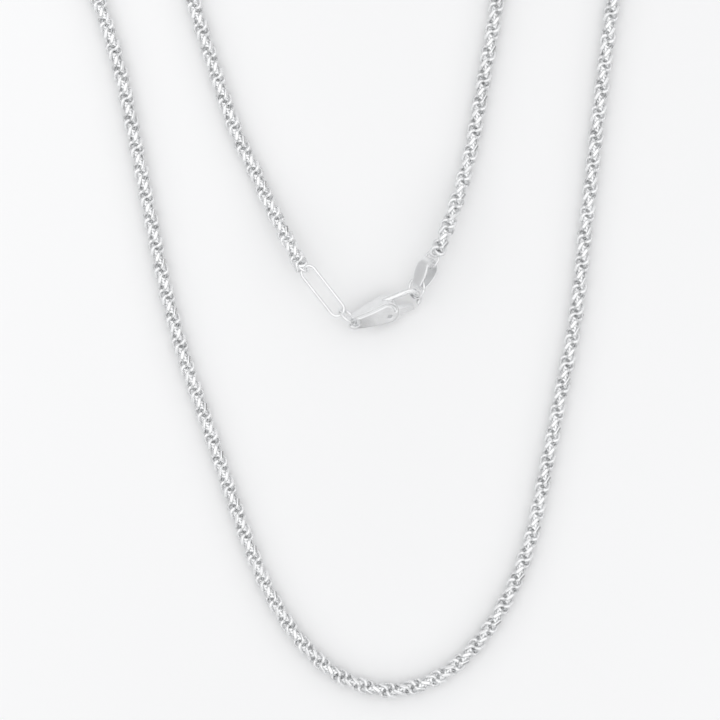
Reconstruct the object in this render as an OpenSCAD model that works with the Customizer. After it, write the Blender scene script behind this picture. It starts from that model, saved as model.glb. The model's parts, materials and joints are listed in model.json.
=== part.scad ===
// Rope-chain necklace laid flat in a loop, closed by a lobster clasp.
// Millimetres, +Z up. The origin is at the centre of the laid loop's outline, on the surface it lies on.

/* [Lay] */
// Width of the laid loop, between the centrelines of its widest stretches
lay_w = 83; // [75:1:100]
// Length of the laid loop, from the lowest to the highest point of its centreline
lay_h = 123; // [112:1:148]

/* [Rope chain] */
// Diameter of the wire that a link is bent from
wire_d = 0.28; // [0.22:0.01:0.30]
// Radius of a link, to the middle of its wire
link_r = 0.75; // [0.73:0.01:0.80]
// Distance of a link's centre from the rope's axis
link_offset = 0.28; // [0.24:0.01:0.32]
// Lean of a link, turned about the line from the rope's axis to its centre
link_lean = 39.5; // [36:0.5:43]
// Advance along the rope from one link to the next
link_step = 0.4625; // [0.44:0.0025:0.50]
// Turn past half a turn from one link to the next
link_twist = 22.5; // [20:0.5:24]
// Opening of a link, as an angle, at the side that faces the rope's axis
link_gap = 16; // [6:1:24]

/* [Oval end link] */
// Outside length of the oval link
oval_l = 9.3; // [8:0.1:12]
// Outside width of the oval link
oval_w = 2.6; // [2.4:0.1:3.2]
// Wire of the oval link
oval_d = 0.5; // [0.4:0.05:0.6]

/* [Rings] */
// Radius of the jump ring at the clasp's tail, to the middle of its wire
jump_r = 1.5; // [1.4:0.05:1.8]
// Wire of the jump ring
jump_d = 0.5; // [0.4:0.05:0.55]
// Radius of the ring that the hook closes on, to the middle of its wire
catch_r = 1.45; // [1.4:0.05:1.8]
// Wire of the ring that the hook closes on
catch_d = 0.44; // [0.36:0.02:0.5]
// Radius of the ring between the rope and the bail, to the middle of its wire
tip_r = 1.3; // [1.25:0.05:1.5]
// Wire of the ring between the rope and the bail
tip_d = 0.34; // [0.28:0.02:0.38]

/* [Bail] */
// Length of the drop-shaped bail
bail_l = 4.9; // [4.5:0.1:6.5]
// Outside radius of the bail's round end
bail_r = 1.35; // [1.2:0.05:1.7]
// Outside radius of the bail's narrow end
bail_point_r = 0.8; // [0.78:0.02:0.95]
// Width of the bail's band
bail_w = 1.5; // [1.2:0.1:1.6]
// Thickness of the bail's band
bail_t = 0.28; // [0.2:0.02:0.3]

/* [Lobster clasp] */
// Length from the middle of the tail's eye to the middle of the hook
hook_reach = 8.6; // [8:0.1:10.5]
// Radius of the hook, to the middle of its wire
hook_r = 1.5; // [1.4:0.05:1.9]
// Wire of the hook
hook_d = 0.85; // [0.7:0.05:0.95]
// Half-width of the clasp's body at its widest
body_r = 1.8; // [1.6:0.1:2.2]
// Distance of the widest place from the middle of the tail's eye
body_x = 4.8; // [4.4:0.1:5.6]
// Thickness of the body at its thickest
body_t = 2.3; // [2.1:0.1:2.8]
// Outside radius of the tail's eye
eye_r = 1.15; // [1.1:0.05:1.3]
// Diameter of the tail's eye
eye_d = 1.3; // [1.25:0.05:1.35]
// Thickness of the tail
eye_t = 0.9; // [0.7:0.05:1.0]
// Thickness of the lever
lever_t = 0.86; // [0.7:0.02:0.9]
// Diameter of the lever's pin
pin_d = 0.6; // [0.5:0.05:0.7]
// Thickness of the lever's leaf spring
spring_t = 0.12; // [0.08:0.02:0.16]
// Roll of the clasp about its length, as it lies
clasp_roll = 36; // [20:1:45]

/* [Hidden] */
$fn = 48;
silver = "#d6d9da";
bright = "#e6e8e9";
steel = "#b9bdc0";
gap = 0.12;                             // least distance between a ring and what it holds
running = 0.03;                         // radial clearance of the lever on its pin
twist_sense = -1;                       // -1 lays the two strands of the rope left-handed

// The rope's route in the loop's plan, from the oval link round to the bail.
// The points are for a loop of plan_w by plan_h and are stretched to lay_w by lay_h.
plan_w = 83;
plan_h = 123;
plan_left = [[-17, 70], [-20, 76.5], [-23, 83], [-27, 95], [-29.4, 103], [-30.6, 109.2], [-31, 114.4],
    [-32.2, 118.7], [-35.3, 121.9], [-39.6, 123], [-43.9, 121.9], [-47.1, 118.7], [-48.2, 114.4], [-46.7, 108.8],
    [-43.3, 102.5], [-39.8, 91.5], [-37.5, 81], [-35.3, 70], [-33, 59], [-30.3, 49], [-27, 39.5], [-23.8, 30],
    [-20.4, 20.5], [-17, 13], [-12.5, 6.5], [-7, 1.9]];
plan_right = [[7, 1.9], [12.5, 6.5], [17.2, 13.5], [20.6, 22], [22.8, 32], [25, 43], [27.2, 54.5], [29, 70],
    [30.8, 86], [32.8, 101.5], [34.4, 108.4], [34.9, 113.4], [33.7, 117.9], [30.4, 121.2], [25.9, 122.4],
    [21.4, 121.2], [18.1, 117.9], [16.9, 113.4], [16.4, 107], [15.4, 99], [13.9, 90.5], [11.8, 79], [9.5, 71]];
plan_tail = [-5.1, 54.2];               // middle of the clasp's eye
clasp_angle = 22;                       // direction of the clasp, from its tail to its nose
jump_angle = -34;                       // direction from the oval link to the clasp's eye
jump_tilt = -20;                        // slope of the jump ring towards the clasp's eye
jump_lean = 20;                         // lean of a ring from upright, about its own direction
oval_angle = -52;                       // direction of the oval link, towards the clasp
catch_turn = 42.4;                      // direction from the hook to the bail, in the clasp's own plane
catch_lean = 53;
bail_angle = 64;                        // direction of the bail, towards the rope
bail_roll = 49.6;                       // roll of the bail about its length, as it lies
bail_rise = 1.04;                       // height of the bail's middle above the clasp's
tip_rise = 0.9;
tip_lean = 46.4;
start_side = 0.345;                     // sideways place of the rope's first and last links
end_side = -0.35;
end_rise = 1.23;
start_spin = 243;                       // turn of the rope's first and last links about its axis
end_spin = 159.6;
fold_lines = [6, 14, 22, 30, 38, 46, 54, 61];       // heights of the folds across the two outer strands
lobe_lines = [69, 77, 85, 93, 101];                 // heights of the folds across all four strands

function stretch(p) = [p[0] * lay_w / plan_w, p[1] * lay_h / plan_h];
function toward(a) = [cos(a), sin(a)];
function blend(a, b, t) = a + (b - a) * t;

// Places of the end pieces, each worked out from the one before it
oval_r = (oval_w - oval_d) / 2;
tail = stretch(plan_tail);
hook = tail + hook_reach * toward(clasp_angle);
oval_in = jump_r - (jump_d + oval_d) / 2 - gap;     // from the jump ring's centre to the link's wire
oval_low = tail - ((jump_r + oval_in) * cos(jump_tilt) + oval_r) * toward(jump_angle);
oval_high = oval_low - (oval_l - oval_w) * toward(oval_angle);
rope_start = oval_high - (oval_r - 0.19) * toward(oval_angle) + start_side * toward(oval_angle - 90);
catch_in = hook_r - (hook_d + catch_d) / 2 - gap;   // from the hook's centre to the ring's wire
catch_way = [cos(catch_turn), sin(catch_turn) * cos(clasp_roll), sin(catch_turn) * sin(clasp_roll)];
catch_angle = clasp_angle + atan2(catch_way[1], catch_way[0]);
catch_tilt = asin(catch_way[2]);
catch_reach = (catch_in + catch_r) * cos(catch_tilt);
catch_far = (catch_in + 2 * catch_r) * cos(catch_tilt);
bail_at = hook + catch_far * toward(catch_angle) - 1.41 * toward(bail_angle);
tip = bail_at + (bail_l - bail_t - 1.1 + tip_r) * toward(bail_angle);
rope_end = tip + (tip_r - 0.21) * toward(bail_angle) + end_side * toward(bail_angle + 90);

// Heights
rope_z = link_offset + link_r + wire_d / 2;
clasp_z = body_r * sin(clasp_roll) + body_t / 2 * cos(clasp_roll) + 0.1;
oval_z = clasp_z - (jump_r + oval_in) * sin(jump_tilt);
ramp = 16;                              // length over which each end of the rope rises to the clasp

// The rope's centreline, as a spline through the route's points
route = concat([rope_start], [for (p = plan_left) stretch(p)], [[0, 0]],
    [for (p = plan_right) stretch(p)], [rope_end]);
fine_n = 14;
last = len(route) - 1;

function knot(i) = route[min(max(i, 0), last)];
function spline(a, b, c, d, t) =
    b + t / 2 * (c - a + t * (2 * a - 5 * b + 4 * c - d + t * (3 * (b - c) + d - a)));

fine = concat([for (i = [0 : last - 1]) for (j = [0 : fine_n - 1])
    spline(knot(i - 1), knot(i), knot(i + 1), knot(i + 2), j / fine_n)], [route[last]]);
lengths = [for (i = 0, s = 0; i < len(fine); s = s + norm(fine[min(i + 1, len(fine) - 1)] - fine[i]), i = i + 1) s];
rope_l = lengths[len(lengths) - 1];
table_x = [for (i = [0 : len(fine) - 1]) [lengths[i], fine[i][0]]];
table_y = [for (i = [0 : len(fine) - 1]) [lengths[i], fine[i][1]]];

function ease(t) = t <= 0 ? 0 : t >= 1 ? 1 : t * t * (3 - 2 * t);
function height(s) = s < rope_l / 2
    ? blend(oval_z, rope_z, ease(s / ramp))
    : blend(clasp_z + end_rise, rope_z, ease((rope_l - s) / ramp));
function place(s) = [lookup(s, table_x), lookup(s, table_y), height(s)];
function course(s) = place(s + 0.4) - place(s - 0.4);

// Whole links, each turned from the one before by a whole share of the rope's turns
link_n = round(rope_l / link_step);
step = rope_l / link_n;
turn = start_spin + twist_sense * (link_n - 1) * (180 + link_twist);
spin = (end_spin + 360 * round((turn - end_spin) / 360) - start_spin) / (link_n - 1);
function link_s(k) = (k + 0.5) * step;

// Cuts between the sections of rope, as link numbers, where the rope crosses each fold line
function crossings(y) = [for (i = [0 : len(fine) - 2])
    if ((fine[i][1] > y) != (fine[i + 1][1] > y))
        blend(lengths[i], lengths[i + 1], (y - fine[i][1]) / (fine[i + 1][1] - fine[i][1]))];
function cut(y, n) = round(crossings(y * lay_h / plan_h)[n] / step);
function thirds(a, b) = [round(blend(a, b, 1 / 3)), round(blend(a, b, 2 / 3))];
function backwards(v) = [for (i = [len(v) - 1 : -1 : 0]) v[i]];

left_up = [for (y = lobe_lines) cut(y, 0)];
left_down = concat([for (y = backwards(lobe_lines)) cut(y, 1)], [for (y = backwards(fold_lines)) cut(y, 0)]);
right_up = concat([for (y = fold_lines) cut(y, 1)], [for (y = lobe_lines) cut(y, 2)]);
right_down = [for (y = backwards(lobe_lines)) cut(y, 3)];
lobe_n = len(lobe_lines);
outer_n = len(left_down);
cuts = concat([0], left_up, thirds(left_up[lobe_n - 1], left_down[0]), left_down,
    thirds(left_down[outer_n - 1], right_up[0]), right_up,
    thirds(right_up[outer_n - 1], right_down[0]), right_down, [link_n]);

ROPE = concat([for (i = [1 : lobe_n]) str("left_inner_", i)], [for (i = [1 : 3]) str("left_turn_", i)],
    [for (i = [1 : outer_n - 1]) str("left_outer_", i)], [for (i = [1 : 3]) str("front_", i)],
    [for (i = [1 : outer_n - 1]) str("right_outer_", i)], [for (i = [1 : 3]) str("right_turn_", i)],
    [for (i = [1 : lobe_n]) str("right_inner_", i)]);

// The loop's outline is centred on the origin
xs = [for (p = fine) p[0]];
ys = [for (p = fine) p[1]];
middle = [(min(xs) + max(xs)) / 2, (min(ys) + max(ys)) / 2];
module laid() {
    translate([-middle[0], -middle[1], 0]) children();
}

// One link: an open ring of round wire, leaning on the rope's axis
module link(k) {
    s = link_s(k);
    c = course(s);
    translate(place(s))
        rotate([0, -atan2(c[2], norm([c[0], c[1]])), atan2(c[1], c[0])])
        rotate(a = 120, v = [1, 1, 1])
        rotate([0, 0, start_spin + k * spin])
        translate([link_offset, 0, 0])
        rotate([-twist_sense * link_lean, 0, 0])
        rotate_extrude(angle = 360 - link_gap, start = 180 + link_gap / 2)
        translate([link_r, 0])
        circle(d = wire_d);
}

module rope_section(i) {
    color(silver) laid() for (k = [cuts[i] : cuts[i + 1] - 1]) link(k);
}

// A ring centred at a point, its plane holding the direction a sloped by tilt, and leaning from upright
module ring(at, z, a, tilt, lean, r, d) {
    color(bright) laid() translate([at[0], at[1], z])
        rotate([0, -tilt, a])
        rotate([90 + lean, 0, 0])
        rotate_extrude()
        translate([r, 0])
        circle(d = d);
}

module jump_ring() {
    at = tail - jump_r * cos(jump_tilt) * toward(jump_angle);
    ring(at, clasp_z - jump_r * sin(jump_tilt), jump_angle, jump_tilt, jump_lean, jump_r, jump_d);
}

module catch_ring() {
    z = clasp_z + (catch_in + catch_r) * sin(catch_tilt);
    ring(hook + catch_reach * toward(catch_angle), z, catch_angle, catch_tilt, catch_lean, catch_r, catch_d);
}

module tip_ring() {
    ring(tip, clasp_z + tip_rise, bail_angle, 0, tip_lean, tip_r, tip_d);
}

// Long link with straight sides and half-round ends
module oval_link() {
    color(bright) laid() translate([oval_low[0], oval_low[1], oval_z]) rotate([0, 0, oval_angle]) {
        side = oval_l - oval_w;
        rotate_extrude(angle = 180, start = -90) translate([oval_r, 0]) circle(d = oval_d);
        translate([-side, 0, 0]) rotate_extrude(angle = 180, start = 90) translate([oval_r, 0]) circle(d = oval_d);
        for (y = [-oval_r, oval_r]) translate([-side, y, 0]) rotate([0, 90, 0]) cylinder(d = oval_d, h = side);
    }
}

// A circle at the origin, a circle of another radius at x, and the straight sides between them
module drop(r1, x, r2) {
    a = asin((r2 - r1) / x);
    p = 0.99 * r1;
    q = 0.99 * r2;
    circle(r = r1);
    translate([x, 0]) circle(r = r2);
    polygon([[-p * sin(a), p * cos(a)], [x - q * sin(a), q * cos(a)],
        [x - q * sin(a), -q * cos(a)], [-p * sin(a), -p * cos(a)]]);
}

// The same outline as a plate of thickness h
module drop_plate(r1, x, r2, h) {
    a = asin((r2 - r1) / x);
    p = 0.99 * r1;
    q = 0.99 * r2;
    cylinder(r = r1, h = h, center = true);
    translate([x, 0, 0]) cylinder(r = r2, h = h, center = true);
    linear_extrude(h, center = true) polygon([[-p * sin(a), p * cos(a)], [x - q * sin(a), q * cos(a)],
        [x - q * sin(a), -q * cos(a)], [-p * sin(a), -p * cos(a)]]);
}

// Drop-shaped band, rolled about its length so that it shows its outside and its inside
module bail() {
    bottom = bail_point_r;
    reach = bail_l - bail_r - bottom;
    color(bright) laid() translate([bail_at[0], bail_at[1], clasp_z + bail_rise])
        rotate([0, 0, bail_angle])
        rotate([bail_roll, 0, 0])
        translate([bottom, 0, 0]) difference() {
            union() drop_plate(bottom, reach, bail_r, bail_w);
            drop_plate(bottom - bail_t, reach, bail_r - bail_t, 2 * bail_w);
        }
}

// The clasp's own frame: x runs from the middle of the eye to the nose, z through its thickness
pivot = [body_x + 0.2, -0.45 * body_r];
hook_end = -58;                         // where the hook's wire ends, as an angle about its middle
slot_t = lever_t + 0.2;
slot_roof = 0.28 * body_r;
slot_start = body_x - 2.1;
body_end = body_x + 1.9;
module clasp_frame() {
    laid() translate([tail[0], tail[1], clasp_z]) rotate([0, 0, clasp_angle]) rotate([clasp_roll, 0, 0]) children();
}

// The body's outline seen from its broad side
module body_outline() {
    intersection() {
        drop(eye_r, body_x, body_r);
        translate([-eye_r, -body_r]) square([body_end + eye_r, 2 * body_r]);
    }
}

// The body's outline seen from its edge: two arcs that meet the tail's thickness at the eye
module body_edge() {
    rise = (body_t - eye_t) / 2;
    r = (body_x * body_x + rise * rise) / (2 * rise);
    intersection() {
        translate([body_x, r - body_t / 2]) circle(r = r, $fn = 200);
        translate([body_x, body_t / 2 - r]) circle(r = r, $fn = 200);
        translate([0, -body_t]) square([body_end, 2 * body_t]);
    }
}

module clasp_body() {
    color(silver) clasp_frame() difference() {
        union() {
            intersection() {
                linear_extrude(body_t, center = true) body_outline();
                rotate([90, 0, 0]) linear_extrude(2 * body_r, center = true) body_edge();
            }
            linear_extrude(eye_t, center = true) intersection() {
                drop(eye_r, body_x, body_r);
                translate([-eye_r, -body_r]) square([body_x + eye_r, 2 * body_r]);
            }
            translate([body_x, hook_r, 0]) rotate([0, 90, 0]) cylinder(d = hook_d, h = hook_reach - body_x);
            translate([hook_reach, 0, 0]) {
                rotate_extrude(angle = 90 - hook_end, start = hook_end) translate([hook_r, 0]) circle(d = hook_d);
                translate(hook_r * toward(hook_end)) sphere(d = hook_d);
            }
        }
        cylinder(d = eye_d, h = 2 * body_t, center = true);
        translate([slot_start, -2 * body_r, -slot_t / 2]) cube([body_end, 2 * body_r + slot_roof, slot_t]);
        translate(pivot) cylinder(d = pin_d, h = 2 * body_t, center = true);
    }
}

// The lever's arm runs from the pin to just short of the hook's end
lever_boss = 1.2 * pin_d;
lever_tip_r = 0.34;
lever_tip = [hook_reach, 0] + hook_r * toward(hook_end) - [hook_d / 2 + lever_tip_r + gap, 0.1];
module clasp_lever() {
    arm = lever_tip - pivot;
    tab = [1.1, -body_r - pivot[1] - 0.05];
    color(bright) clasp_frame() translate(pivot) difference() {
        union() {
            rotate([0, 0, atan2(arm[1], arm[0])]) drop_plate(lever_boss, norm(arm), lever_tip_r, lever_t);
            rotate([0, 0, atan2(tab[1], tab[0])]) drop_plate(lever_boss, norm(tab), 0.42, lever_t);
            translate([-1.3, -0.25, -lever_t / 2]) cube([1.3, 0.5, lever_t]);
        }
        cylinder(d = pin_d + 2 * running, h = 2 * lever_t, center = true);
    }
}

module lever_pin() {
    reach = body_t - 0.2;
    color(steel) clasp_frame() translate(pivot) cylinder(d = pin_d, h = reach, center = true);
}

// Leaf spring between the slot's roof and the lever's arm
module lever_spring() {
    low = slot_roof - 0.3;
    color(steel) clasp_frame() linear_extrude(lever_t - 0.2, center = true) polygon([
        [slot_start + 0.1, low + spring_t], [slot_start + 0.1, low], [pivot[0] + 0.3, low],
        [pivot[0] + 1.5, -0.42], [pivot[0] + 1.5, -0.42 + spring_t], [pivot[0] + 0.3, low + spring_t]]);
}

for (i = [0 : len(ROPE) - 1]) rope_section(i);
oval_link();
jump_ring();
clasp_body();
clasp_lever();
lever_pin();
lever_spring();
catch_ring();
bail();
tip_ring();
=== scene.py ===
import json
import math

import bmesh
import bpy
import numpy as np
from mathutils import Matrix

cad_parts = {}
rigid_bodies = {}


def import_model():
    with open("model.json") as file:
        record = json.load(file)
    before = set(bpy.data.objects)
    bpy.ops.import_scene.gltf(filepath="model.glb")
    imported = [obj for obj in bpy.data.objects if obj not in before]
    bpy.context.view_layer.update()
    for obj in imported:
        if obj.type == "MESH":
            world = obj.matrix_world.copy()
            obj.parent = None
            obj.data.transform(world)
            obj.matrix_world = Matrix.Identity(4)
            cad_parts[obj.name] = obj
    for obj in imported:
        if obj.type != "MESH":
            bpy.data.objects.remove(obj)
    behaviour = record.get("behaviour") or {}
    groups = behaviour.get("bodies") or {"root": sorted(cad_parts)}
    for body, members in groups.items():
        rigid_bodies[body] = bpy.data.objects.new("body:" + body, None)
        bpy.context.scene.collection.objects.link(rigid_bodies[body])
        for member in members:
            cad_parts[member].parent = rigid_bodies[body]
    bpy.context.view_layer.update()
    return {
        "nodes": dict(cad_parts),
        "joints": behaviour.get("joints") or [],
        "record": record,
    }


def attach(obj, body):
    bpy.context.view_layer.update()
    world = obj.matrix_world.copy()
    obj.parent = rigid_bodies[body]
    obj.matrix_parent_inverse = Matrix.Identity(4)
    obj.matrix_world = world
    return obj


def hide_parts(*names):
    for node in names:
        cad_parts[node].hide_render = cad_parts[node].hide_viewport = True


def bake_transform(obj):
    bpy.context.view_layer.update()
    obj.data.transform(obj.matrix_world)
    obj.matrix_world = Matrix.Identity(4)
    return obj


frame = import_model()
mm = 0.001
print("frame loaded:", len(frame["nodes"]), "nodes")


def turn(axis, degrees):
    # rotation matrix about one of the axes x, y or z, right-hand rule
    a = math.radians(degrees)
    c, s = math.cos(a), math.sin(a)
    return {"x": np.array([[1, 0, 0], [0, c, -s], [0, s, c]]),
            "y": np.array([[c, 0, s], [0, 1, 0], [-s, 0, c]]),
            "z": np.array([[c, -s, 0], [s, c, 0], [0, 0, 1]])}[axis]


def toward(degrees, slope=0.0):
    # unit vector at this compass direction in the lay, raised by the slope
    a, e = math.radians(degrees), math.radians(slope)
    return np.array([math.cos(a) * math.cos(e), math.sin(a) * math.cos(e), math.sin(e)])


def meshFromArrays(name, points, quads, smooth=None, attributes=None, extra=None):
    # points in millimetres; quads, and extra triangles, index them anticlockwise seen from outside
    mesh = bpy.data.meshes.new(name)
    faces = quads.tolist() + ([] if extra is None else extra.tolist())
    mesh.from_pydata((points * mm).tolist(), [], faces)
    if smooth is None:
        smooth = np.ones(len(faces), bool)
    mesh.polygons.foreach_set("use_smooth", smooth)
    for key, values in (attributes or {}).items():
        layer = mesh.attributes.new(key, "FLOAT", "POINT")
        layer.data.foreach_set("value", values.astype(np.float32))
    mesh.update()
    piece = bpy.data.objects.new(name, mesh)
    bpy.context.collection.objects.link(piece)
    return piece


def gridQuads(rows, columns, first=0, closedRows=True):
    # quads of a grid of points that closes across its columns, and along its rows if asked
    i = np.arange(rows if closedRows else rows - 1)[:, None]
    j = np.arange(columns)[None, :]
    nextRow, nextColumn = (i + 1) % rows, (j + 1) % columns
    quads = np.stack([i * columns + j, nextRow * columns + j,
                      nextRow * columns + nextColumn, i * columns + nextColumn], axis=-1)
    return quads.reshape(-1, 4) + first


polish = {
    "scratchSize": 900.0,      # fine polishing marks, per metre
    "hazeSize": 260.0,         # broad patches where the polish is a little duller
    "scratchDepth": 0.010,
}


def makePolishGroup():
    # colour and roughness of polished silver, a little duller and greyer in soft patches
    group = bpy.data.node_groups.new("polishedSilver", "ShaderNodeTree")
    face = group.interface
    for name, kind, start in (("Colour", "NodeSocketColor", (0.9, 0.9, 0.9, 1)),
                              ("Haze Colour", "NodeSocketColor", (0.8, 0.8, 0.8, 1)),
                              ("Roughness", "NodeSocketFloat", 0.1),
                              ("Haze Roughness", "NodeSocketFloat", 0.2),
                              ("Facet", "NodeSocketFloat", 0.0)):
        face.new_socket(name, in_out="INPUT", socket_type=kind).default_value = start
    for name, kind in (("Colour", "NodeSocketColor"), ("Roughness", "NodeSocketFloat"),
                       ("Height", "NodeSocketFloat")):
        face.new_socket(name, in_out="OUTPUT", socket_type=kind)
    add = group.nodes.new
    link = group.links.new
    inside, outside = add("NodeGroupInput"), add("NodeGroupOutput")
    place = add("ShaderNodeTexCoord")
    haze = add("ShaderNodeTexNoise")
    haze.inputs["Scale"].default_value = polish["hazeSize"]
    haze.inputs["Detail"].default_value = 3
    link(place.outputs["Object"], haze.inputs["Vector"])
    ramp = add("ShaderNodeMapRange")
    ramp.inputs["From Min"].default_value = 0.42
    ramp.inputs["From Max"].default_value = 0.68
    link(haze.outputs["Fac"], ramp.inputs["Value"])
    keep = add("ShaderNodeMath")          # a cut facet keeps the mirror polish
    keep.operation = "SUBTRACT"
    keep.inputs[0].default_value = 1.0
    link(inside.outputs["Facet"], keep.inputs[1])
    amount = add("ShaderNodeMath")
    amount.operation = "MULTIPLY"
    link(ramp.outputs["Result"], amount.inputs[0])
    link(keep.outputs[0], amount.inputs[1])
    colour = add("ShaderNodeMix")
    colour.data_type = "RGBA"
    link(amount.outputs[0], colour.inputs["Factor"])
    link(inside.outputs["Colour"], colour.inputs["A"])
    link(inside.outputs["Haze Colour"], colour.inputs["B"])
    link(colour.outputs["Result"], outside.inputs["Colour"])
    rough = add("ShaderNodeMix")
    link(amount.outputs[0], rough.inputs["Factor"])
    link(inside.outputs["Roughness"], rough.inputs["A"])
    link(inside.outputs["Haze Roughness"], rough.inputs["B"])
    link(rough.outputs["Result"], outside.inputs["Roughness"])
    marks = add("ShaderNodeTexNoise")
    marks.inputs["Scale"].default_value = polish["scratchSize"]
    marks.inputs["Detail"].default_value = 4
    stretch = add("ShaderNodeMapping")
    stretch.inputs["Scale"].default_value = (1.0, 0.12, 1.0)
    stretch.inputs["Rotation"].default_value = (0.3, 0.2, 0.7)
    link(place.outputs["Object"], stretch.inputs["Vector"])
    link(stretch.outputs["Vector"], marks.inputs["Vector"])
    link(marks.outputs["Fac"], outside.inputs["Height"])
    return group


polishGroup = makePolishGroup()


def makeSilver(name, colour, hazeColour, roughness, hazeRoughness, facets=False):
    # a metal with the shared polish; facets reads the "facet" attribute of the points
    material = bpy.data.materials.new(name)
    material.use_nodes = True
    nodes, link = material.node_tree.nodes, material.node_tree.links.new
    shader = nodes["Principled BSDF"]
    shader.inputs["Metallic"].default_value = 1.0
    silver = nodes.new("ShaderNodeGroup")
    silver.node_tree = polishGroup
    silver.inputs["Colour"].default_value = (*colour, 1)
    silver.inputs["Haze Colour"].default_value = (*hazeColour, 1)
    silver.inputs["Roughness"].default_value = roughness
    silver.inputs["Haze Roughness"].default_value = hazeRoughness
    if facets:
        cut = nodes.new("ShaderNodeAttribute")
        cut.attribute_name = "facet"
        link(cut.outputs["Fac"], silver.inputs["Facet"])
    bump = nodes.new("ShaderNodeBump")
    bump.inputs["Strength"].default_value = 0.10
    bump.inputs["Distance"].default_value = polish["scratchDepth"] * mm
    link(silver.outputs["Colour"], shader.inputs["Base Color"])
    link(silver.outputs["Roughness"], shader.inputs["Roughness"])
    link(silver.outputs["Height"], bump.inputs["Height"])
    link(bump.outputs["Normal"], shader.inputs["Normal"])
    return material


finishes = {
    "chain_silver": makeSilver("diamondCutSilver", (0.95, 0.955, 0.96), (0.88, 0.885, 0.89), 0.16, 0.26,
                               facets=True),
    "ring_silver": makeSilver("polishedWire", (0.93, 0.935, 0.94), (0.86, 0.865, 0.87), 0.12, 0.22),
    "clasp_silver": makeSilver("polishedCasting", (0.93, 0.935, 0.94), (0.85, 0.855, 0.86), 0.14, 0.26),
    "spring_steel": makeSilver("springSteel", (0.72, 0.73, 0.74), (0.62, 0.63, 0.64), 0.25, 0.35),
    "bail_silver": makeSilver("satinBand", (0.95, 0.955, 0.96), (0.9, 0.905, 0.91), 0.34, 0.42),
}
print("materials made")


def finish(piece, slotName, body=None, replaced=(), look=None):
    # gives a piece the material named by its slot or look, the body it rides on and the nodes it stands for
    piece.data.materials.clear()
    piece.data.materials.append(finishes[look or slotName])
    if body:
        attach(piece, body)
    if replaced:
        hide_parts(*replaced)
    return piece


lay = {
    "middle": (-6.63953, 61.5),        # centre of the loop's outline, which is the origin
    "left": [(-17, 70), (-20, 76.5), (-23, 83), (-27, 95), (-29.4, 103), (-30.6, 109.2), (-31, 114.4),
             (-32.2, 118.7), (-35.3, 121.9), (-39.6, 123), (-43.9, 121.9), (-47.1, 118.7), (-48.2, 114.4),
             (-46.7, 108.8), (-43.3, 102.5), (-39.8, 91.5), (-37.5, 81), (-35.3, 70), (-33, 59), (-30.3, 49),
             (-27, 39.5), (-23.8, 30), (-20.4, 20.5), (-17, 13), (-12.5, 6.5), (-7, 1.9)],
    "right": [(7, 1.9), (12.5, 6.5), (17.2, 13.5), (20.6, 22), (22.8, 32), (25, 43), (27.2, 54.5), (29, 70),
              (30.8, 86), (32.8, 101.5), (34.4, 108.4), (34.9, 113.4), (33.7, 117.9), (30.4, 121.2),
              (25.9, 122.4), (21.4, 121.2), (18.1, 117.9), (16.9, 113.4), (16.4, 107), (15.4, 99),
              (13.9, 90.5), (11.8, 79), (9.5, 71)],
    "tail": (-5.1, 54.2),              # middle of the clasp's eye
    "claspAngle": 22, "claspRoll": 36, "claspHeight": 2.0884,
    "jumpAngle": -34, "jumpTilt": -20, "jumpLean": 20,
    "ovalAngle": -52,
    "catchTurn": 42.4, "catchLean": 53,
    "bailAngle": 64, "bailRoll": 49.6, "bailRise": 1.04,
    "tipRise": 0.9, "tipLean": 46.4,
    "startSide": 0.345, "endSide": -0.35, "endRise": 1.23,
    "ramp": 16,                        # length over which each end of the rope rises to the clasp
    "bailIntoRing": 1.41,              # how far the bail's foot passes into the catch ring
    "tipIntoBail": 1.1,                # how far the tip ring reaches into the bail
    "ovalInRope": 0.19, "tipInRope": 0.21,     # how far inside its ring the rope's axis ends
}
oval = {"length": 9.3, "width": 2.6, "wire": 0.5}
jump = {"radius": 1.5, "wire": 0.5, "gapDegrees": 3.0}
catch = {"radius": 1.45, "wire": 0.44, "gapDegrees": 3.0}
tipRing = {"radius": 1.3, "wire": 0.34, "gapDegrees": 3.0}
bail = {"length": 4.9, "roundEnd": 1.35, "narrowEnd": 0.8, "width": 1.5, "thickness": 0.28,
        "flare": 0.55}                 # the band's limbs widen between its two ends
clasp = {"hookReach": 8.6, "hookRadius": 1.5, "hookWire": 0.85, "bodyHalfWidth": 1.8, "widestAt": 4.8,
         "thickness": 2.3, "eyeRadius": 1.15, "bodyEnd": 6.7,
         "slotStart": 2.7, "slotRoof": 0.504, "slotHalf": 0.53}
clearance = 0.12

tail = np.array([*lay["tail"], lay["claspHeight"]])
hook = tail + clasp["hookReach"] * toward(lay["claspAngle"])
jumpInside = jump["radius"] - (jump["wire"] + oval["wire"]) / 2 - clearance
ovalRadius = (oval["width"] - oval["wire"]) / 2
jumpWay = toward(lay["jumpAngle"], lay["jumpTilt"])
jumpCentre = tail - jump["radius"] * jumpWay
ovalLow = tail - (jump["radius"] + jumpInside) * jumpWay - ovalRadius * toward(lay["jumpAngle"])
ovalHigh = ovalLow - (oval["length"] - oval["width"]) * toward(lay["ovalAngle"])
catchInside = clasp["hookRadius"] - (clasp["hookWire"] + catch["wire"]) / 2 - clearance
claspTurn = turn("z", lay["claspAngle"]) @ turn("x", lay["claspRoll"])
catchWay = claspTurn @ turn("z", lay["catchTurn"]) @ np.array([1.0, 0, 0])
catchCentre = hook + (catchInside + catch["radius"]) * catchWay
catchFar = hook + (catchInside + 2 * catch["radius"]) * catchWay
bailWay = toward(lay["bailAngle"])
bailFoot = catchFar - lay["bailIntoRing"] * bailWay
bailFoot[2] = lay["claspHeight"] + lay["bailRise"]
tip = bailFoot + (bail["length"] - bail["thickness"] - lay["tipIntoBail"] + tipRing["radius"]) * bailWay
tip[2] = lay["claspHeight"] + lay["tipRise"]
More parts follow.
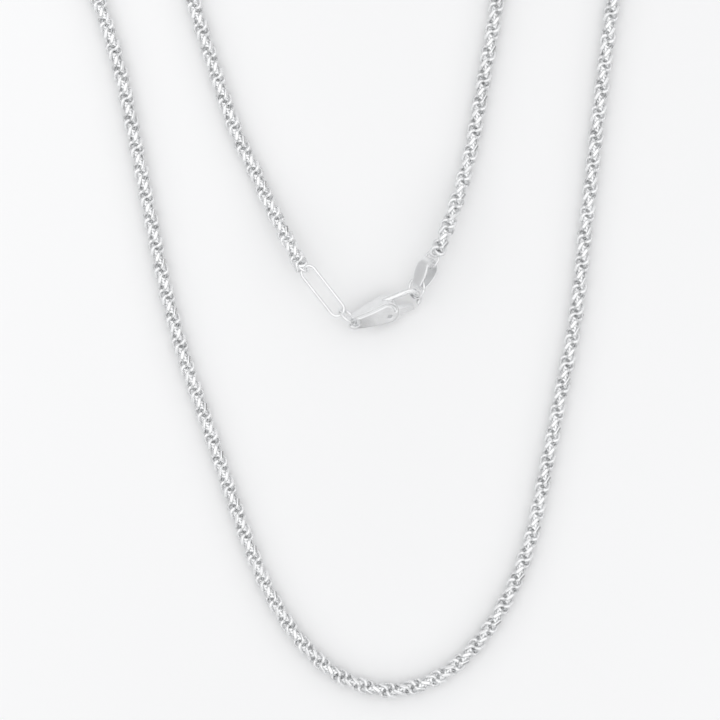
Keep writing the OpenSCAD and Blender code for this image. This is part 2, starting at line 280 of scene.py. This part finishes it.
ropeStart = ovalHigh - (ovalRadius - lay["ovalInRope"]) * toward(lay["ovalAngle"]) \
    + lay["startSide"] * toward(lay["ovalAngle"] - 90)
ropeEnd = tip + (tipRing["radius"] - lay["tipInRope"]) * bailWay \
    + lay["endSide"] * toward(lay["bailAngle"] + 90)
origin = np.array([*lay["middle"], 0])


rope = {
    "linkRadius": 0.80,        # to the middle of the wire
    "wire": 0.55,              # links touch their neighbours
    "offset": 0.26,            # of a link's centre from the rope's axis
    "lean": 63.0,              # of a link's plane along the rope
    "step": 0.4625,
    "twist": 22.5,             # past half a turn, from link to link
    "startSpin": 243.0, "endSpin": 159.6,
    "height": 1.17,
    "cut": 1.12,               # distance of the diamond-cut facet from the rope's axis
    "around": 14, "across": 7,     # faces round a link, and round its wire
    "foldReach": 12,           # links that a fold's piece takes on each side of the fold, next to a long stretch
    "longStretch": 30,         # links in a stretch whose middle stays stiff
}


def ropeLine():
    # Catmull-Rom curve through the route's points, 14 steps to a stretch, with its running length
    route = np.array([ropeStart[:2], *lay["left"], (0, 0), *lay["right"], ropeEnd[:2]])
    padded = np.vstack([route[:1], route, route[-1:]])
    a, b, c, d = padded[:-3], padded[1:-2], padded[2:-1], padded[3:]
    t = (np.arange(14) / 14)[None, :, None]
    a, b, c, d = (p[:, None, :] for p in (a, b, c, d))
    curve = b + t / 2 * (c - a + t * (2 * a - 5 * b + 4 * c - d + t * (3 * (b - c) + d - a)))
    curve = np.vstack([curve.reshape(-1, 2), route[-1:]])
    steps = np.linalg.norm(np.diff(curve, axis=0), axis=1)
    return curve, np.concatenate([[0], np.cumsum(steps)])


ropeCurve, ropeLengths = ropeLine()
ropeLength = ropeLengths[-1]
linkCount = int(round(ropeLength / rope["step"]))
linkStep = ropeLength / linkCount
fullTurn = rope["startSpin"] - (linkCount - 1) * (180 + rope["twist"])
wholeTurns = 360 * round((fullTurn - rope["endSpin"]) / 360)
linkSpin = (rope["endSpin"] + wholeTurns - rope["startSpin"]) / (linkCount - 1)


def ease(t):
    # smooth step: 3 t^2 - 2 t^3, held at 0 and 1 outside
    return np.clip(t, 0, 1) ** 2 * (3 - 2 * np.clip(t, 0, 1))


def ropePlace(s):
    # point of the rope's axis at running length s; both ends rise to the clasp by a smooth step
    startHeight, endHeight = ovalHigh[2], lay["claspHeight"] + lay["endRise"]
    rise = np.where(s < ropeLength / 2,
                    startHeight + (rope["height"] - startHeight) * ease(s / lay["ramp"]),
                    endHeight + (rope["height"] - endHeight) * ease((ropeLength - s) / lay["ramp"]))
    x = np.interp(s, ropeLengths, ropeCurve[:, 0])
    y = np.interp(s, ropeLengths, ropeCurve[:, 1])
    return np.stack([x, y, rise], axis=-1)


def ropeFrames(k):
    # for links k: centre on the axis, and a matrix whose columns are outward, sideways and along the rope
    s = (k + 0.5) * linkStep
    place, course = ropePlace(s), ropePlace(s + 0.4) - ropePlace(s - 0.4)
    along = course / np.linalg.norm(course, axis=1, keepdims=True)
    sideways = np.stack([-along[:, 1], along[:, 0], 0 * s], axis=-1)
    sideways /= np.linalg.norm(sideways, axis=1, keepdims=True)
    up = np.cross(along, sideways)
    spin = np.radians(rope["startSpin"] + k * linkSpin)[:, None]
    outward = sideways * np.cos(spin) + up * np.sin(spin)
    across = -sideways * np.sin(spin) + up * np.cos(spin)
    return place, np.stack([outward, across, along], axis=-1)


def linkShape():
    # one link as a torus in its own frame, x outward from the rope's axis: its plane leans about x,
    # and whatever stands out past the cut is pressed back to a flat facet. Points crowd at the crown.
    u = np.linspace(-1, 1, rope["around"], endpoint=False)
    theta = np.pi * (0.55 * u + 0.45 * u ** 3)
    phi = np.linspace(0, 2 * np.pi, rope["across"], endpoint=False) + np.pi / rope["across"]
    theta, phi = np.meshgrid(theta, phi, indexing="ij")
    reach = rope["linkRadius"] + rope["wire"] / 2 * np.cos(phi)
    ring = np.stack([reach * np.cos(theta), reach * np.sin(theta), rope["wire"] / 2 * np.sin(phi)], axis=-1)
    ring = ring.reshape(-1, 3) @ turn("x", rope["lean"]).T
    ring[:, 0] += rope["offset"]
    past = ring[:, 0] > rope["cut"]
    ring[past, 0] = rope["cut"] + 0.02 * (ring[past, 0] - rope["cut"])
    return ring, past


linkPoints, linkCut = linkShape()
linkQuads = gridQuads(rope["around"], rope["across"])
linkSmooth = ~linkCut[linkQuads].all(axis=1)


def ropePiece(name, first, last):
    # links first to last - 1 as one mesh, every link a closed ring of its own
    k = np.arange(first, last)
    place, axes = ropeFrames(k)
    points = place[:, None, :] + np.einsum("kij,vj->kvi", axes, linkPoints) - origin
    quads = (linkQuads[None] + (np.arange(len(k)) * len(linkPoints))[:, None, None]).reshape(-1, 4)
    facets = np.tile(linkCut.astype(float), len(k))
    return meshFromArrays(name, points.reshape(-1, 3), quads, np.tile(linkSmooth, len(k)), {"facet": facets})


joints = {j["name"]: j for j in frame["joints"]}
bodiesOf = frame["record"]["behaviour"]["bodies"]


def linkAt(point):
    # number of the first link after a point on the rope's axis, given in metres
    s = (np.arange(linkCount + 1)) * linkStep
    return int(np.argmin(np.linalg.norm(ropePlace(s) - origin - np.array(point) / mm, axis=1)))


foldNames = [f"left_back_fold_{n}" for n in range(9, 14)] + [f"left_fold_{n}" for n in range(13, 0, -1)] \
    + [f"right_fold_{n}" for n in range(1, 14)] + [f"right_back_fold_{n}" for n in range(13, 8, -1)]
foldLinks = [linkAt(joints[name]["pos_m"]) for name in foldNames]
bodyChain = ["left_inner_1"]          # bodies of the rope from its start to its end
for name in foldNames:
    ends = {joints[name]["parent"], joints[name]["child"]}
    bodyChain.append((ends - {bodyChain[-1]}).pop())

# each fold is one piece that runs from the middle of one section to the middle of the next;
# what is left of the long stretches and the ends rides on its own body
bounds = [0, *foldLinks, linkCount]
done, replaced = 0, set()
for i, name in enumerate(foldNames):
    before, here, after = bounds[i], bounds[i + 1], bounds[i + 2]
    start, stop = (before + here) // 2, (here + after) // 2
    if here - before > rope["longStretch"] or i == 0:
        start = max(start, here - rope["foldReach"])
    if after - here > rope["longStretch"] or i == len(foldNames) - 1:
        stop = min(stop, here + rope["foldReach"])
    if start > done:
        body = bodyChain[i]
        piece = ropePiece(f"rope_{body}", done, start)
        finish(piece, "chain_silver", body, [n for n in bodiesOf[body] if n not in replaced])
        replaced |= set(bodiesOf[body])
    piece = ropePiece(f"rope_{name}", start, stop)
    finish(piece, "chain_silver")
    ends = (ropePlace(np.array([start, stop]) * linkStep) - origin) * mm
    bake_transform(piece)
    fresh = [n for body in bodyChain[i:i + 2] for n in bodiesOf[body]
             if n not in replaced and len(bodiesOf[body]) == 1]
    if fresh:
        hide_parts(*fresh)
        replaced |= set(fresh)
    done = stop
piece = ropePiece("rope_" + bodyChain[-1], done, linkCount)
finish(piece, "chain_silver", bodyChain[-1])
print("rope:", linkCount, "links,", round(ropeLength, 1), "mm")


def sweep(name, path, normal, section, closed=True, flare=None):
    # a section carried along a path: its first coordinate lies along the path's own sideways
    # direction (normal x tangent), its second along the fixed normal, times the flare at that point
    ahead = np.roll(path, -1, axis=0) - np.roll(path, 1, axis=0)
    if not closed:
        ahead[0], ahead[-1] = path[1] - path[0], path[-1] - path[-2]
    tangent = ahead / np.linalg.norm(ahead, axis=1, keepdims=True)
    side = np.cross(np.broadcast_to(normal, path.shape), tangent)
    side /= np.linalg.norm(side, axis=1, keepdims=True)
    rise = np.cross(tangent, side)
    if flare is not None:
        rise *= flare[:, None]
    points = path[:, None] + section[None, :, :1] * side[:, None] + section[None, :, 1:] * rise[:, None]
    rows, columns = points.shape[:2]
    points = points.reshape(-1, 3)
    quads = gridQuads(rows, columns, closedRows=closed)[:, ::-1]
    if not closed:                     # a fan closes each end
        hub, top = len(points), (rows - 1) * columns
        points = np.vstack([points, path[:1], path[-1:]])
        j = np.arange(columns)
        after = (j + 1) % columns
        lids = np.vstack([np.column_stack([hub + 0 * j, j, after]),
                          np.column_stack([hub + 1 + 0 * j, top + after, top + j])])
        smooth = np.concatenate([np.ones(len(quads), bool), np.zeros(len(lids), bool)])
        return meshFromArrays(name, points - origin, quads, smooth, extra=lids)
    return meshFromArrays(name, points - origin, quads)


def roundWire(diameter, sides=20):
    # circle
    a = np.linspace(0, 2 * np.pi, sides, endpoint=False)
    return diameter / 2 * np.stack([np.cos(a), np.sin(a)], axis=-1)


def ringPath(centre, direction, tilt, lean, size, count=96):
    # circle whose plane holds the direction and leans from upright; an opening is left where it was bent shut
    axes = turn("z", direction) @ turn("y", -tilt) @ turn("x", 90 + lean)
    opening = math.radians(size["gapDegrees"])
    start = math.radians(size.get("gapAt", 60))
    a = start + opening / 2 + np.linspace(0, 1, count) * (2 * np.pi - opening)
    return centre + size["radius"] * np.stack([np.cos(a), np.sin(a), 0 * a], axis=-1) @ axes.T, axes[:, 2]


for name, node, body, centre, direction, tilt, lean, size in (
        ("jumpRing", "jump_ring", "jump", jumpCentre, lay["jumpAngle"], lay["jumpTilt"],
         lay["jumpLean"], jump),
        ("catchRing", "catch_ring", "catch", catchCentre,
         math.degrees(math.atan2(catchWay[1], catchWay[0])), math.degrees(math.asin(catchWay[2])),
         lay["catchLean"], catch),
        ("tipRing", "tip_ring", "tip", tip, lay["bailAngle"], 0, lay["tipLean"], tipRing)):
    path, normal = ringPath(centre, direction, tilt, lean, size)
    finish(sweep(name, path, normal, roundWire(size["wire"]), closed=False), "ring_silver", body, [node])


def ovalPath(count=40):
    # two half circles joined by straight sides, in the lay's plane
    a = np.linspace(-np.pi / 2, np.pi / 2, count)
    side = oval["length"] - oval["width"]
    straight = np.linspace(0, side, 14)[1:-1]
    low = np.stack([ovalRadius * np.cos(a), ovalRadius * np.sin(a)], axis=-1)
    left = np.stack([-straight, ovalRadius + 0 * straight], axis=-1)
    high = np.stack([-side - ovalRadius * np.cos(a), ovalRadius * np.sin(a)], axis=-1)[::-1]
    right = np.stack([-straight[::-1], -ovalRadius + 0 * straight], axis=-1)
    flat = np.vstack([low, left, high, right])
    return np.column_stack([flat, 0 * flat[:, 0]])


ovalPoints = ovalLow + ovalPath() @ turn("z", lay["ovalAngle"]).T
finish(sweep("ovalLink", ovalPoints, np.array([0, 0, 1.0]), roundWire(oval["wire"], 24)), "ring_silver",
       "oval", ["oval_link"])


def dropPath(small, apart, large, count=48):
    # outline of a drop: a small circle at the origin, a large one further along, and their outer tangents
    a = math.asin((large - small) / apart)
    half = np.linspace(np.pi / 2 + a, 3 * np.pi / 2 - a, count)
    rest = np.linspace(-np.pi / 2 - a, np.pi / 2 + a, count)
    tangentLow = np.array([-small * math.sin(a), -small * math.cos(a)])
    farLow = np.array([apart - large * math.sin(a), -large * math.cos(a)])
    t = np.linspace(0, 1, 20)[1:-1, None]
    lower = tangentLow + t * (farLow - tangentLow)
    first = small * np.stack([np.cos(half), np.sin(half)], axis=-1)
    second = large * np.stack([np.cos(rest), np.sin(rest)], axis=-1) + [apart, 0]
    return np.vstack([first, lower, second, (lower * [1, -1])[::-1]])


def bandSection(thickness, width, dish=0.03, sides=28):
    # rounded oblong (a superellipse of power 5) with a slightly dished outer face
    a = np.linspace(0, 2 * np.pi, sides, endpoint=False)
    c, s = np.cos(a), np.sin(a)
    x = thickness / 2 * np.sign(c) * np.abs(c) ** 0.5
    y = width / 2 * np.sign(s) * np.abs(s) ** 0.35
    return np.stack([x * (1 - dish * (1 - (2 * y / width) ** 2)), y], axis=-1)


bailHalf = bail["thickness"] / 2
bailOutline = dropPath(bail["narrowEnd"] - bailHalf, bail["length"] - bail["roundEnd"] - bail["narrowEnd"],
                       bail["roundEnd"] - bailHalf)
bailAxes = turn("z", lay["bailAngle"]) @ turn("x", lay["bailRoll"])
bailFlat = np.column_stack([bailOutline + [bail["narrowEnd"], 0], 0 * bailOutline[:, 0]])
bailPath = bailFoot + bailFlat @ bailAxes.T
limb = np.clip(2 * (bailOutline[:, 0] + bail["narrowEnd"]) / (bail["length"] - bail["thickness"]) - 1, -1, 1)
finish(sweep("dropBail", bailPath, bailAxes[:, 2], bandSection(bail["thickness"], bail["width"]),
             flare=1 + bail["flare"] * (1 - limb ** 2) ** 1.5),
       "ring_silver", "drop_bail", ["bail"], look="bail_silver")
print("rings, oval link and bail made")


casting = {
    "voxel": 0.055, "soften": 7,       # how fine the skin is, and how far its edges are rounded
    "grooveIn": 0.46, "grooveWide": 0.13, "grooveDeep": 0.26,
    "lineDeep": 0.06, "lineOut": 0.12, "lineWide": 0.05,       # the line along the hook's wire
}


def softCopy(node, name, voxel, soften):
    # a copy of a CAD piece with its edges rounded as a casting's are, as one even skin of small quads
    piece = bpy.data.objects.new(name, frame["nodes"][node].data.copy())
    bpy.context.collection.objects.link(piece)
    work = bmesh.new()
    work.from_mesh(piece.data)
    bmesh.ops.remove_doubles(work, verts=work.verts, dist=1e-6)
    work.to_mesh(piece.data)
    work.free()
    remesh = piece.modifiers.new("skin", "REMESH")
    remesh.mode = "VOXEL"
    remesh.voxel_size = voxel * mm
    smooth = piece.modifiers.new("round", "SMOOTH")
    smooth.factor = 0.5
    smooth.iterations = soften
    graph = bpy.context.evaluated_depsgraph_get()
    mesh = bpy.data.meshes.new_from_object(piece.evaluated_get(graph))
    piece.modifiers.clear()
    piece.data = mesh
    mesh.polygons.foreach_set("use_smooth", np.ones(len(mesh.polygons), bool))
    return piece


def readPoints(piece):
    # the piece's points in the layout's millimetres
    points = np.empty(len(piece.data.vertices) * 3, np.float32)
    piece.data.vertices.foreach_get("co", points)
    return points.reshape(-1, 3).astype(float) / mm + origin


def writePoints(piece, points):
    # puts points given in the layout's millimetres back into the piece
    piece.data.vertices.foreach_set("co", ((points - origin) * mm).astype(np.float32).ravel())
    piece.data.update()


def carveClasp(piece):
    # a groove on each broad face, a set distance inside the back edge and round the eye:
    # depth = grooveDeep * exp(-((distance inside the outline - grooveIn) / grooveWide)^2)
    local = (readPoints(piece) - tail) @ claspTurn
    x, y, z = local.T
    small, large, far = clasp["eyeRadius"], clasp["bodyHalfWidth"], clasp["widestAt"]
    inside = np.where(x < 0, small - np.hypot(x, y),
                      np.where(x < far, small + (large - small) * x / far - np.abs(y),
                               large - np.hypot(x - far, y)))
    depth = casting["grooveDeep"] * np.exp(-((inside - casting["grooveIn"]) / casting["grooveWide"]) ** 2)
    depth *= np.clip((y + 0.5) / 0.6, 0, 1) * np.clip((clasp["bodyEnd"] - 0.1 - x) / 0.5, 0, 1) \
        * np.clip((np.abs(z) - 0.3) / 0.1, 0, 1)
    local[:, 2] -= np.sign(z) * depth
    # whatever the softening left inside the lever's slot goes back to the slot's nearest wall
    gaps = np.stack([x - clasp["slotStart"], clasp["slotRoof"] - y, clasp["slotHalf"] - np.abs(z)])
    nearest = np.where((gaps.min(axis=0) > 0) & (x < clasp["bodyEnd"]), gaps.argmin(axis=0), -1)
    walls = (clasp["slotStart"], clasp["slotRoof"], np.sign(z) * clasp["slotHalf"])
    for i, wall in enumerate(walls):
        local[:, i] = np.where(nearest == i, wall, local[:, i])
    # a shallow line along the middle of the hook's wire, on both faces
    around = np.hypot(x - clasp["hookReach"], y)
    line = casting["lineDeep"] \
        * np.exp(-((around - clasp["hookRadius"] - casting["lineOut"]) / casting["lineWide"]) ** 2) \
        * np.clip((x - clasp["bodyEnd"] - 0.3) / 0.4, 0, 1)
    local[:, 2] -= np.sign(z) * line
    writePoints(piece, tail + local @ claspTurn.T)


claspBody = softCopy("clasp_body", "claspBody", casting["voxel"], casting["soften"])
carveClasp(claspBody)
finish(claspBody, "clasp_silver", "clasp", ["clasp_body"])
for node, look in (("clasp_lever", "clasp_silver"), ("lever_pin", "spring_steel"),
                   ("lever_spring", "spring_steel")):
    frame["nodes"][node].material_slots[0].material = finishes[look]
print("clasp made")


studio = {
    "floor": -0.00012, "floorSize": 3.0,
    "cameraHeight": 1.2, "viewWidth": 0.1059, "aim": (0.00223, -0.01297),
    "skyStrength": 1.12,
    "sky": ((0.16, 0.16), (0.28, 0.7), (0.5, 1.0), (0.68, 0.62), (0.8, 1.0)),     # height, brightness
}
half = studio["floorSize"] / 2
corners = ((-half, -half), (half, -half), (half, half), (-half, half))
floorMesh = bpy.data.meshes.new("floor")
floorMesh.from_pydata([(x, y, studio["floor"]) for x, y in corners], [], [(0, 1, 2, 3)])
floor = bpy.data.objects.new("floor", floorMesh)
bpy.context.collection.objects.link(floor)
paper = bpy.data.materials.new("whitePaper")
paper.use_nodes = True
paper.node_tree.nodes["Principled BSDF"].inputs["Base Color"].default_value = (0.96, 0.963, 0.966, 1)
paper.node_tree.nodes["Principled BSDF"].inputs["Roughness"].default_value = 0.6
floorMesh.materials.append(paper)

world = bpy.data.worlds.new("studio")
bpy.context.scene.world = world
world.use_nodes = True
nodes, link = world.node_tree.nodes, world.node_tree.links.new
skyPlace = nodes.new("ShaderNodeTexCoord")
split = nodes.new("ShaderNodeSeparateXYZ")
ramp = nodes.new("ShaderNodeValToRGB")
link(skyPlace.outputs["Generated"], split.inputs["Vector"])
link(split.outputs["Z"], ramp.inputs["Fac"])
link(ramp.outputs["Color"], nodes["Background"].inputs["Color"])
ramp.color_ramp.elements[0].position = 0.0
ramp.color_ramp.elements[0].color = (0.3, 0.305, 0.31, 1)
ramp.color_ramp.elements[1].position = 1.0
ramp.color_ramp.elements[1].color = (1.0, 1.0, 1.0, 1)
for position, value in studio["sky"]:
    element = ramp.color_ramp.elements.new(position)
    element.color = (value, value, value * 1.005, 1)
nodes["Background"].inputs["Strength"].default_value = studio["skyStrength"]


def softbox(name, place, aimAt, width, height, power):
    # a rectangular lamp whose face looks from its place toward the aim
    light = bpy.data.lights.new(name, "AREA")
    light.shape = "RECTANGLE"
    light.size, light.size_y, light.energy = width, height, power
    lamp = bpy.data.objects.new(name, light)
    bpy.context.collection.objects.link(lamp)
    direction = np.array(aimAt, float) - np.array(place, float)
    x, y, z = direction / np.linalg.norm(direction)
    lamp.location = place
    lamp.rotation_euler = (math.acos(-z), 0, math.atan2(x, -y) if abs(x) + abs(y) > 1e-6 else 0)
    return lamp


softbox("softboxLeft", (-0.7, 0.25, 0.75), (0, 0, 0), 0.5, 0.7, 9.0)
softbox("softboxRight", (0.7, -0.15, 0.7), (0, 0, 0), 0.35, 0.7, 5.0)
softbox("softboxBack", (0.0, 0.8, 0.5), (0, 0, 0), 0.8, 0.25, 4.0)

camera = bpy.data.cameras.new("camera")
camera.sensor_width = 36
camera.lens = camera.sensor_width * studio["cameraHeight"] / studio["viewWidth"]
camera.clip_end = 10
eye = bpy.data.objects.new("camera", camera)
bpy.context.collection.objects.link(eye)
eye.location = (*studio["aim"], studio["cameraHeight"])
bpy.context.scene.camera = eye
bpy.context.scene.view_settings.view_transform = "Standard"
print("studio set")
